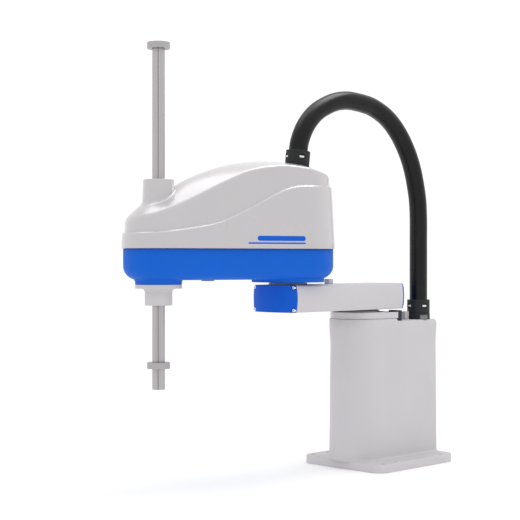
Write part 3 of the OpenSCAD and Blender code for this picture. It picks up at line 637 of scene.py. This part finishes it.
def make_coupling(name, node, body, stand, window_turn):
    """A clamp sleeve with four windows and a white clip behind each."""

    def place(point):
        return tuple(stand @ Vector(point))

    sleeve = lathe(name, coupling_profile(), (0, 0), place=place, sides=128)
    middle = FLANGE_H + NUT_H * 0.53
    cutters = []
    for k in range(4):
        spin = Matrix.Rotation(math.radians(window_turn + 90 * k), 3, "Z")

        def window_place(point, spin=spin):
            return place(spin @ Vector(point))

        cutters.append(window_cutter(middle, window_place))
        clip_low = (COUPLING_R - 3.4, -5.2, middle - 2.2)
        clip_high = (COUPLING_R - 1.3, 5.2, middle + 2.0)
        clip = block(f"{name}_clip_{k + 1}", clip_low, clip_high, window_place, 0.6)
        dress(clip, body, "white_paint")
        clip.data.materials[0] = materials["white_clip"]
    cut(sleeve, cutters)
    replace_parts(dress(sleeve, body, "coupling_black"), node)


# ---------- base ----------


COLUMN_BACK_X = -139
COLUMN_HALF_W = 62
REAR_CORNER_R = 7
# the column's top: a low shelf behind, with a rounded edge, and the deck in front of it
SHELF_Z = 318
DECK_Z = 323.4
SHELF_EDGE_R = 6.0
DECK_EDGE_R = 0.8
# height from which the wall stands straight up to the top
STRAIGHT_Z = 304


def column_half():
    """Left half of the column's slimmest outline, front to back: (x, y, nx, ny)."""
    corner_x = COLUMN_BACK_X + REAR_CORNER_R
    return [
        *arc(J1.x, 0, COLUMN_HALF_W, 0, 90, 28),
        *line(J1.x, COLUMN_HALF_W, corner_x, COLUMN_HALF_W, 40, 0, 1),
        *arc(corner_x, COLUMN_HALF_W - REAR_CORNER_R, REAR_CORNER_R, 90, 180, 8),
    ]


def ease(t):
    """From 0 to 1, level at both ends."""
    t = min(1.0, max(0.0, t))
    return t * t * (3 - 2 * t)


def quarter(steps):
    """Sine and cosine of each step of a quarter turn."""
    turns = [math.radians(90 * k / steps) for k in range(steps + 1)]
    return [(math.sin(a), math.cos(a)) for a in turns]


def column_growth(z):
    """How far the wall stands outside its slimmest section: a taper to the plate, a flare at the top."""
    return 2.5 * max(0.0, (262 - z) / 244) + 2.2 * ease((z - 268) / 36)


def make_column():
    """The column, from the fillet on the base plate to the shelf and the deck."""
    half = column_half()
    foot_r = 6.0

    def ring(growth, sink, z_of):
        """One ring: growth moves the walls but not the back, sink moves every wall in."""
        made = []
        for x, y, nx, ny in half:
            out = growth * (1 if nx >= 0 else ny) - sink(x)
            made.append((x + nx * out, y + ny * out, z_of(x)))
        made[0] = (made[0][0], 0.0, made[0][2])
        return mirrored(made)

    def level(z, extra=0.0):
        return ring(column_growth(z) + extra, lambda x: 0.0, lambda x: z)

    def top_ring(sink, drop):
        return ring(column_growth(STRAIGHT_Z), sink, lambda x: height(x) - drop(x))

    def at_deck(x):
        """0 on the shelf, 1 on the deck."""
        return ease((x + 1) / 9)

    def radius(x):
        return SHELF_EDGE_R + (DECK_EDGE_R - SHELF_EDGE_R) * at_deck(x)

    def height(x):
        return SHELF_Z + (DECK_Z - SHELF_Z) * at_deck(x)

    def crease(x):
        """Depth of the crease along the foot of the shelf's rounded edge."""
        return 0.9 * (1 - at_deck(x))

    rings = [level(PLATE_T - 1, foot_r)]
    for sine, cosine in quarter(8):
        rings.append(level(PLATE_T + foot_r * (1 - cosine), foot_r * (1 - sine)))
    rings += [level(z) for z in (60, 120, 180, 240, 262, 272, 282, 292, STRAIGHT_Z)]
    rings.append(top_ring(lambda x: 0.0, lambda x: radius(x) + 0.9))
    rings.append(top_ring(lambda x: 0.2, lambda x: radius(x) + 0.5))
    for sine, cosine in quarter(8):
        rings.append(
            top_ring(lambda x: crease(x) + radius(x) * (1 - cosine), lambda x: radius(x) * (1 - sine))
        )
    points, faces = loft(rings)
    return mesh_piece("column", points, faces, sharp=50)


PLATE_BACK_X = -140
PLATE_FRONT_X = 124
PLATE_HALF_W = 115
PLATE_CORNER_R = 28
PLATE_EDGE_R = 1.6
# four bolts on a square about the origin, and two dowels in front of the middle
BOLT_AT = 100
BOLT_HOLE_R = 5.5
DOWEL_AT = (56, 98)
DOWEL_HOLE_R = 4.0


def make_plate():
    """The base plate with its bolt and dowel holes and rounded upper edge."""
    x0, x1, half_w, corner = PLATE_BACK_X, PLATE_FRONT_X, PLATE_HALF_W, PLATE_CORNER_R
    half = [
        (x1, 0, 1, 0),
        *line(x1, 0, x1, half_w - corner, 6, 1, 0),
        *arc(x1 - corner, half_w - corner, corner, 0, 90, 16),
        *line(x1 - corner, half_w, x0 + corner, half_w, 12, 0, 1),
        *arc(x0 + corner, half_w - corner, corner, 90, 180, 16),
    ]
    levels = [(0.5, 0.0), (0.0, 0.5)]
    levels += [
        (PLATE_EDGE_R * (1 - cosine), PLATE_T - PLATE_EDGE_R * (1 - sine)) for sine, cosine in quarter(5)
    ]
    rings = [mirrored([(x - nx * sink, y - ny * sink, z) for x, y, nx, ny in half]) for sink, z in levels]
    points, faces = loft(rings)
    plate = mesh_piece("plate", points, faces, sharp=50)
    bolts = [(x, y) for x in (-BOLT_AT, BOLT_AT) for y in (-BOLT_AT, BOLT_AT)]
    dowels = [(DOWEL_AT[0], y) for y in (-DOWEL_AT[1], DOWEL_AT[1])]
    cutters = [hole_cutter(x, y, BOLT_HOLE_R) for x, y in bolts]
    cutters += [hole_cutter(x, y, DOWEL_HOLE_R) for x, y in dowels]
    cut(plate, cutters)
    return plate


def hole_cutter(x, y, r):
    """A drill through the plate with a countersink at its mouth."""
    profile = [(0.01, -2), (r, -2), (r, PLATE_T - 0.8), (r + 1.2, PLATE_T + 0.4), (0.01, PLATE_T + 0.4)]
    return lathe("drill", profile, (x, y), sides=48)


def make_base():
    base = join("base_casting_shell", [make_plate(), make_column()])
    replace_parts(dress(base, "base", "white_paint"), "base_casting")


# ---------- second arm ----------


def arm_half(inset=0.0):
    """Left half of the second arm's outline, nose to rear: (s, t, ns, nt, s of its rib's root)."""
    nose, rear = NOSE_R - inset, REAR_R - inset
    tangent = math.degrees(SIDE_TURN)
    cosine, sine = math.cos(SIDE_TURN), math.sin(SIDE_TURN)
    made = [(*p, ARM2_LEN) for p in arc(ARM2_LEN, 0, nose, 0, tangent, 36)]
    steps = 56
    for k in range(1, steps):
        f = k / steps
        r = (1 - f) * nose + f * rear
        root = ARM2_LEN * (1 - f)
        made.append((root + r * cosine, r * sine, cosine, sine, root))
    made += [(*p, 0.0) for p in arc(0, 0, rear, tangent, 180, 40)]
    made[0] = (made[0][0], 0.0, 1.0, 0.0, ARM2_LEN)
    made[-1] = (made[-1][0], 0.0, -1.0, 0.0, 0.0)
    return made


# lines along the cover, as in the CAD: (distance from the second axis, height)
# of its middle, of the shoulder between wall and dome, and of the skirt's upper edge
RIDGE = [(0, 652), (50, 655), (100, 652), (150, 643), (200, 628), (250, 606), (300, 574)]
SHOULDER = [
    (-98, 623), (-45, 629), (10, 638), (63, 641), (133, 630),
    (184, 609), (263, 571), (317, 549), (373, 535),
]
SKIRT = [
    (-98, 604), (25, 602), (62, 593), (106, 572), (148, 551),
    (205, 527), (264, 515.3), (330, 507), (373, 505.5),
]


def curve_z(points, x):
    """Height at x of the smooth curve through points (x, z), level beyond its ends."""
    if x <= points[0][0]:
        return points[0][1]
    if x >= points[-1][0]:
        return points[-1][1]

    def slope(k):
        a, b = points[max(0, k - 1)], points[min(len(points) - 1, k + 1)]
        return (b[1] - a[1]) / (b[0] - a[0])

    i = max(k for k in range(len(points) - 1) if points[k][0] <= x)
    h = points[i + 1][0] - points[i][0]
    t = (x - points[i][0]) / h
    return (
        (2 * t**3 - 3 * t**2 + 1) * points[i][1] + (t**3 - 2 * t**2 + t) * h * slope(i)
        + (3 * t**2 - 2 * t**3) * points[i + 1][1] + (t**3 - t**2) * h * slope(i + 1)
    )


def bend_r(s):
    """Radius of the bend between wall and dome: tight behind, wider down the slope and round the nose."""
    return 8 + 8 * ease((s - 120) / 150) + 12 * ease((s - ARM2_LEN) / NOSE_R)


# the cover's walls lean in by 3 degrees, and step in above the skirt
COVER_SLOPE = math.tan(math.radians(3))
SKIRT_STEP = 4.5
# how soon the dome drops away from its middle line
DOME_POWER = 1.7
DOME_STEPS = 17
WALL_STEPS = 9
BEND_STEPS = 10
# points of a rib up to the first one above the skirt's edge
ABOVE_SKIRT = 2 + WALL_STEPS + 8
BOOT_R = 33.2


def cover_rib(s, t, root):
    """One rib of the cover, from its rim at (s, t) over the skirt's edge, the bend and the dome."""
    width = math.hypot(s - root, t)
    edge_z = curve_z(SKIRT, s)

    def wall(z):
        return width - (z - SEAM_Z) * COVER_SLOPE

    profile = [(width - 0.8, SEAM_Z), (width, SEAM_Z + 0.8)]
    wall_h = edge_z - 3.4 - SEAM_Z
    heights = [SEAM_Z + wall_h * k / WALL_STEPS for k in range(1, WALL_STEPS + 1)]
    profile += [(wall(z), z) for z in heights]
    # bevelled upper edge of the skirt
    step_r = wall(edge_z)
    bevel = [(0.05, -2.9), (0.3, -2.5), (2.4, -0.35), (2.9, 0.0), (3.5, 0.1)]
    bevel += [(SKIRT_STEP - 0.2, 0.5), (SKIRT_STEP, 1.4)]
    profile += [(step_r - inwards, edge_z + up) for inwards, up in bevel]

    bend = bend_r(s)
    turn = curve_z(SHOULDER, s) - 0.6 * bend
    top = curve_z(RIDGE, root)
    start = wall(turn) - SKIRT_STEP
    # the bend stops where the dome is as steep
    end = math.pi / 2 - math.atan(DOME_POWER * (top - turn - bend) / (start - bend / 2))
    dome_r = start - bend + bend * math.cos(end)
    dome_z = turn + bend * math.sin(end)
    for f in (0.3, 0.6, 0.85):
        z = edge_z + 1.4 + (turn - edge_z - 1.4) * f
        profile.append((wall(z) - SKIRT_STEP, z))
    for k in range(BEND_STEPS + 1):
        a = end * k / BEND_STEPS
        profile.append((start - bend + bend * math.cos(a), turn + bend * math.sin(a)))
    for k in range(1, DOME_STEPS + 1):
        f = 1 - k / (DOME_STEPS + 0.4)
        profile.append((dome_r * f, top - (top - dome_z) * f**DOME_POWER))
    return [(root + (s - root) * r / width, t * r / width, z) for r, z in profile]


def crown_z(s, t):
    """Height of the cover's dome over a point of the second arm's frame."""
    root = min(ARM2_LEN, max(0.0, s - abs(t) / math.tan(SIDE_TURN)))
    from_root = max(math.hypot(s - root, t), 0.001)
    if root + 0.001 >= ARM2_LEN:
        rim = (ARM2_LEN + NOSE_R * (s - root) / from_root, NOSE_R * t / from_root)
    else:
        width = NOSE_R + (REAR_R - NOSE_R) * (1 - root / ARM2_LEN)
        rim = (root + width * math.cos(SIDE_TURN), width * math.sin(SIDE_TURN))
    # the rib runs from the rim inwards; find where it crosses this distance above the skirt
    line_up = [(math.hypot(x - root, y), z) for x, y, z in cover_rib(*rim, root)[ABOVE_SKIRT:]]
    for (r0, z0), (r1, z1) in zip(line_up, line_up[1:]):
        if r1 <= from_root <= r0:
            return z1 + (z0 - z1) * (from_root - r1) / max(r0 - r1, 0.0001)
    return line_up[-1][1] if from_root < line_up[-1][0] else line_up[0][1]


# how far the collar's root reaches out over the dome and climbs the collar's wall
FILLET_REACH = 10.0
FILLET_CLIMB = 7.5


def make_foot_fillet():
    """The smooth root where the dome runs up into the shaft's collar."""
    sides, steps = 96, 8
    # just inside the collar's wall, so that the root closes against it
    wall_r = BOOT_R - 1.4
    rings = [[] for _ in range(steps + 1)]
    for i in range(sides):
        a = math.radians(360 * i / sides)
        # smaller at the back, where the dome climbs away from the collar
        share = 0.15 + 0.85 * ease((math.cos(a) + 0.9) / 1.1)
        reach, climb = FILLET_REACH * share, FILLET_CLIMB * share
        foot_z, outer_z, far_z = (
            crown_z(ARM2_LEN + r * math.cos(a), r * math.sin(a))
            for r in (BOOT_R, BOOT_R + reach, BOOT_R + reach + 2)
        )
        # the middle point carries the dome's slope on to the collar's wall
        middle_z = outer_z + (outer_z - far_z) / 2 * reach
        middle_z = 0.5 * middle_z + 0.5 * foot_z
        for k in range(steps + 1):
            u = k / steps
            r = (1 - u) ** 2 * (BOOT_R + reach) + 2 * u * (1 - u) * wall_r + u * u * wall_r
            z = (1 - u) ** 2 * (outer_z - 0.15) + 2 * u * (1 - u) * middle_z + u * u * (foot_z + climb)
            rings[k].append((ARM2_LEN + r * math.cos(a), r * math.sin(a), z))
    points, faces = loft(rings, bottom=False, top=False)
    return mesh_piece("foot_fillet", points, faces, on_arm2, sharp=80)


def side_width(along, z):
    """Distance of the cover's side wall from the middle line, square to the wall."""
    f = 1 - along / ARM2_LEN
    return (1 - f) * NOSE_R + f * REAR_R - (z - SEAM_Z) * COVER_SLOPE


def on_right_side(along, z0):
    """Frame on the cover's right side wall, its third axis pointing outwards, as in the CAD."""
    cosine, sine = math.cos(SIDE_TURN), math.sin(SIDE_TURN)
    width = side_width(along, z0)

    def place(point):
        down, across, out = point
        r = width + out
        return on_arm2((along + r * cosine + across * sine, -r * sine + across * cosine, z0 - down))

    return place


def on_left_wall(point):
    """A point (distance from the second axis, distance off the wall, z) of the left side wall."""
    along, out, z = point
    r = side_width(along, z) + out
    return on_arm2((along + r * math.cos(SIDE_TURN), r * math.sin(SIDE_TURN), z))


# round openings: (distance from the second axis, radius) of the button and of the lamp
ROUND_OPENINGS = [(60, 11.15), (26, 5.15)]
ROUND_OPENING_Z = 530
# the sockets' opening: its place and its half sizes
SOCKET_PLACE = (110, 518)
SOCKET_HALF = (17.1, 20.1)
OPENING_DEPTH = 12


def control_openings():
    """Cutters for the button, the lamp and the sockets in the right side wall."""
    deep = OPENING_DEPTH
    cutters = []
    for along, r in ROUND_OPENINGS:
        profile = [(0.01, -deep), (r, -deep), (r, deep), (0.01, deep)]
        place = on_right_side(along, ROUND_OPENING_Z)
        cutters.append(lathe("opening", profile, (0, 0), sides=64, place=place))
    a, b = SOCKET_HALF
    cutters.append(block("opening", (-a, -b, -deep), (a, b, deep), on_right_side(*SOCKET_PLACE), 0.01))
    return cutters


COVER_WALL = 3


def make_cover():
    """The white cover: a thin shell with its openings, joined to the collar's root."""
    ribs = [cover_rib(s, t, root) for s, t, _, _, root in arm_half()]
    rings = [mirrored([rib[j] for rib in ribs]) for j in range(len(ribs[0]))]
    points, faces = loft(rings, bottom=False)
    cover = mesh_piece("arm_cover_shell", points, faces, on_arm2, sharp=60)
    shell = cover.modifiers.new("thickness", "SOLIDIFY")
    shell.thickness = COVER_WALL * MM
    shell.offset = -1
    apply_modifiers(cover)
    cut(cover, control_openings(), sharp=60)
    cover = join("arm_cover_shell", [cover, make_foot_fillet()])
    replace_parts(dress(cover, "second_arm", "white_plastic"), "arm_cover")


def make_boot():
    """The slightly tapered collar that the shaft comes out of."""
    top = high("shaft_collar_cover").z
    foot_r, top_r, bore, foot_z = 32.8, 30.4, 15, 552
    profile = [
        (bore, foot_z), (foot_r, foot_z), (top_r + 1.0, top - 28),
        *rounded(top_r - 1.2, top - 1.2, 1.2, 0, 90), (bore + 0.8, top), (bore, top - 0.8),
    ]
    boot = lathe("shaft_collar", profile, (J3.x, J3.y), sharp=40)
    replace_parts(dress(boot, "second_arm", "white_plastic"), "shaft_collar_cover")


# the tray of the casting: its underside, and the rounded edge round it, a little flatter than round
CASTING_Z = 412.5
CASTING_INSET = 3.6
CASTING_EDGE_R = 30
CASTING_FLATTEN = 0.93


def make_tray():
    """The casting's body, up to the seam under the cover."""
    outline = arm_half(CASTING_INSET)
    edge_h = CASTING_EDGE_R * CASTING_FLATTEN
    levels = [
        (CASTING_EDGE_R * (1 - sine), CASTING_Z + edge_h * (1 - cosine)) for sine, cosine in quarter(16)
    ]
    levels += [(0.0, 455), (0.0, SEAM_Z - 0.6), (0.6, SEAM_Z)]
    rings = [
        mirrored([(s - ns * sink, t - nt * sink, z) for s, t, ns, nt, _ in outline]) for sink, z in levels
    ]
    points, faces = loft(rings)
    return mesh_piece("tray", points, faces, on_arm2, sharp=50)


def make_front_boss():
    """The boss round the shaft, with a foot that flares into the tray."""
    bore, boss_r, low_z, flare_z = 36.3, 46, 404.2, 407
    profile = [(bore, low_z), *rounded(boss_r - 0.8, low_z + 0.8, 0.8, -90, 0), (boss_r, flare_z)]
    profile += [(boss_r + 7 * (1 - cosine), flare_z + 9 * sine) for sine, cosine in quarter(5)[1:]]
    profile += [(bore, 418)]
    return lathe("front_boss", profile, (J3.x, J3.y), sharp=40)


def make_casting():
    """The blue lower casting: a tray, its two bosses, a tab under the nose and a pad."""
    rear_profile = [(44, 406), *rounded(74.7, 406.8, 0.8, -90, 0), (75.5, 420), (44, 420)]
    tab_low = (ARM2_LEN + 38, -7, CASTING_Z + 1)
    tab_high = (ARM2_LEN + 51, 7, CASTING_Z + 12)
    pad_profile = [(0.01, 410), *rounded(12.2, 410.8, 0.8, -90, 0), (13, 416), (0.01, 416)]
    parts = [
        make_tray(),
        lathe("rear_boss", rear_profile, (J2.x, J2.y), sharp=40),
        make_front_boss(),
        block("tab", tab_low, tab_high, on_arm2, 1.2),
        lathe("pad", pad_profile, on_arm2((190, 0, 0))),
    ]
    casting = join("arm_casting_shell", parts)
    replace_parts(dress(casting, "second_arm", "blue_paint"), "arm_casting")


# name, ends along the arm, lower and upper edge
STRIPES = [("stripe_wide", 10, 118, 490, 500), ("stripe_thin", 10, 138, 484, 487)]


def make_stripe(name, s0, s1, z0, z1):
    """A plain blue stripe with round ends on the left side wall."""
    radius = (z1 - z0) / 2
    middle = (z0 + z1) / 2
    outline = [(x, z) for x, z, _, _ in arc(s1 - radius, middle, radius, -90, 90, 16)]
    outline += [(x, z) for x, z, _, _ in arc(s0 + radius, middle, radius, 90, 270, 16)]
    n = len(outline)
    points = [(s, out, z) for out in (-0.3, 0.25) for s, z in outline]
    faces = [tuple(range(n)), tuple(range(2 * n - 1, n - 1, -1))]
    faces += [(i, (i + 1) % n, n + (i + 1) % n, n + i) for i in range(n)]
    dress(mesh_piece(name, points, faces, on_left_wall), "second_arm", "blue_plastic")


# ---------- CAD nodes that stay: finer edges and real materials ----------


# edge radius of the nodes whose edges are softer than the rest, in millimetres
SOFT_EDGES = {
    "beam": 1.4,
    "beam_front_cover": 1.6,
    "beam_rear_cover": 1.6,
    "column_cap": 1.3,
    "hose_clamp_block": 1.0,
    "j2_stop_block": 1.0,
    "lower_bearing_cover": 0.8,
}
COMMON_EDGE = 0.35


def finish_cad_nodes():
    """Gives the nodes that nothing replaces their materials and rounds their edges."""
    slots = {s["node"]: s["material_slot"] for s in frame["record"]["subparts"]}
    for name, node in frame["nodes"].items():
        if node.hide_render:
            continue
        node.data.materials.clear()
        node.data.materials.append(materials[slots[name]])
        custom = node.data.attributes.get("custom_normal")
        if custom:
            node.data.attributes.remove(custom)
        node.data.shade_smooth()
        weld = node.modifiers.new("weld", "WELD")
        weld.merge_threshold = 0.02 * MM
        soften(node, SOFT_EDGES.get(name, COMMON_EDGE), segments=3 if name in SOFT_EDGES else 2)


# ---------- floor and light ----------


FLOOR_HALF = 12


def make_stage():
    """A plain floor."""
    half = FLOOR_HALF
    corners = [(-half, -half, 0), (half, -half, 0), (half, half, 0), (-half, half, 0)]
    mesh = bpy.data.meshes.new("floor")
    mesh.from_pydata(corners, [], [(0, 1, 2, 3)])
    floor = bpy.data.objects.new("floor", mesh)
    bpy.context.scene.collection.objects.link(floor)
    mesh.materials.append(materials["floor"])


# the world alone lights the floor to plain white
SKY_STRENGTH = 1.06
# lamps over the second arm: place and size in metres, power in watts
OVERHEAD = {"place": (-0.12, 0.12, 1.72), "size": 0.7, "power": 5}
OVERHEAD_TARGET = (0.42, -0.03, 0.6)
SOFTBOX = {"place": (0.165, -0.255, 2.1), "size": 2.2, "power": 15}
SOFTBOX_WIDTH = 1.0
SOFTBOX_TURN = -38


def soft_light(name, place, size, power, turn):
    data = bpy.data.lights.new(name, "AREA")
    data.shape = "DISK"
    data.size = size
    data.energy = power
    lamp = bpy.data.objects.new(name, data)
    bpy.context.scene.collection.objects.link(lamp)
    lamp.location = place
    lamp.rotation_euler = turn
    return lamp


def make_light():
    """A white world, a soft lamp overhead and a softbox for the highlights."""
    world = bpy.data.worlds.new("studio")
    world.use_nodes = True
    sky = world.node_tree.nodes["Background"]
    sky.inputs["Color"].default_value = (1, 1, 1, 1)
    sky.inputs["Strength"].default_value = SKY_STRENGTH
    bpy.context.scene.world = world
    aim = Vector(OVERHEAD_TARGET) - Vector(OVERHEAD["place"])
    soft_light("overhead", **OVERHEAD, turn=aim.to_track_quat("-Z", "Y").to_euler())
    # a level panel that shows in polished surfaces but adds nothing to matt ones
    softbox = soft_light("softbox", **SOFTBOX, turn=(0, 0, math.radians(SOFTBOX_TURN)))
    softbox.visible_diffuse = False
    softbox.data.shape = "RECTANGLE"
    softbox.data.size_y = SOFTBOX_WIDTH


def set_view():
    settings = bpy.context.scene.view_settings
    settings.view_transform = "Standard"
    settings.look = "None"
    settings.exposure = 0
    settings.gamma = 1


make_camera()
materials = make_materials()
make_hose()
lower_place, upper_place = lower_coupling_place(), upper_coupling_place()
make_coupling("lower_coupling", "lower_hose_coupling", "base", lower_place, LOWER_WINDOW_TURN)
make_coupling("upper_coupling", "upper_hose_coupling", "second_arm", upper_place, UPPER_WINDOW_TURN)
make_base()
make_cover()
make_boot()
make_casting()
for stripe in STRIPES:
    make_stripe(*stripe)
finish_cad_nodes()
make_stage()
make_light()
set_view()
